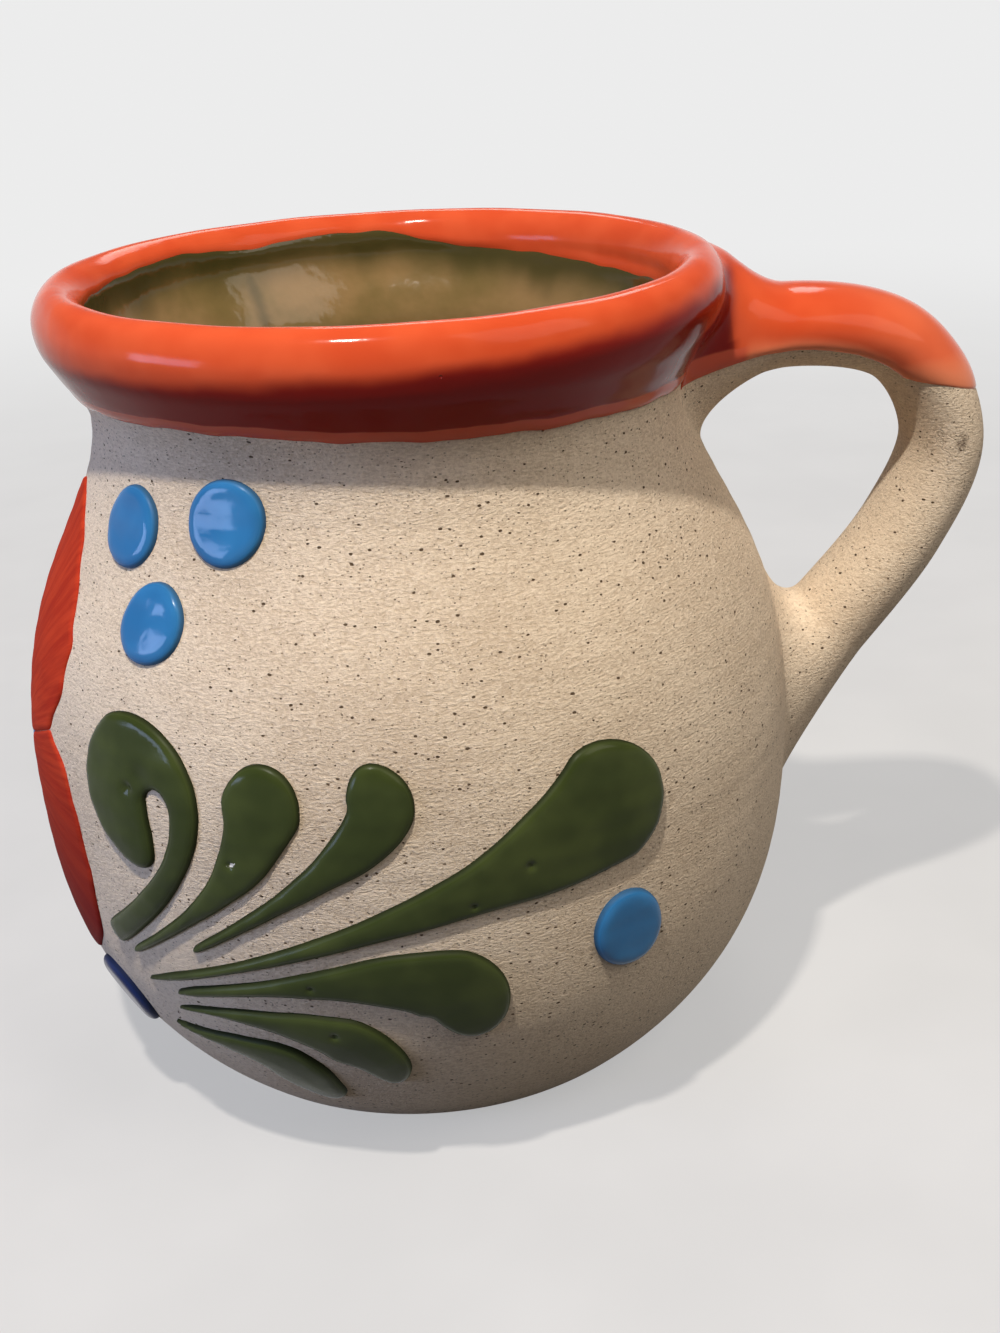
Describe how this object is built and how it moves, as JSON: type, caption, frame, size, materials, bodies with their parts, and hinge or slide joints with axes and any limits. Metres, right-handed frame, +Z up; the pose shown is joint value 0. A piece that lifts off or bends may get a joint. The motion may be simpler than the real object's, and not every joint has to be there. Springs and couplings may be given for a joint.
{
  "type": "clay mug",
  "caption": "Round-bellied clay mug with a rolled lip, a pulled strap handle, a glazed rim and lining, and raised slip leaves, dots and a flower.",
  "frame": {"origin": "centre of the flat foot, on the surface that the mug stands on", "axes": "+Z up along the pot's turning axis, +X along the handle, the flower on -X, the pictured side towards -Y"},
  "size_m": [0.1175, 0.0944, 0.0954],
  "materials": {
    "clay": "matt sandy low-fired clay with fine dark specks",
    "orange_glaze": "glossy orange-red glaze",
    "lining_glaze": "glossy green-brown glaze",
    "green_slip": "glossy raised dark green slip",
    "blue_slip": "glossy raised blue slip",
    "red_slip": "satin brushed red slip"
  },
  "bodies": {
    "root": {"pot": "clay", "handle": "clay", "rim_glaze": "orange_glaze", "handle_glaze": "orange_glaze", "lining_glaze": "lining_glaze", "flower_eye": "blue_slip", "petal_1": "red_slip", "petal_2": "red_slip", "petal_3": "red_slip", "petal_4": "red_slip", "petal_5": "red_slip", "front_leaf_1": "green_slip", "front_leaf_2": "green_slip", "front_leaf_3": "green_slip", "front_leaf_4": "green_slip", "front_leaf_5": "green_slip", "front_leaf_6": "green_slip", "front_leaf_7": "green_slip", "back_leaf_1": "green_slip", "back_leaf_2": "green_slip", "back_leaf_3": "green_slip", "back_leaf_4": "green_slip", "back_leaf_5": "green_slip", "back_leaf_6": "green_slip", "back_leaf_7": "green_slip", "front_dot_1": "blue_slip", "front_dot_2": "blue_slip", "front_dot_3": "blue_slip", "front_dot_4": "blue_slip", "front_dot_5": "blue_slip", "back_dot_1": "blue_slip", "back_dot_2": "blue_slip", "back_dot_3": "blue_slip", "back_dot_4": "blue_slip", "back_dot_5": "blue_slip"}
  },
  "joints": []
}
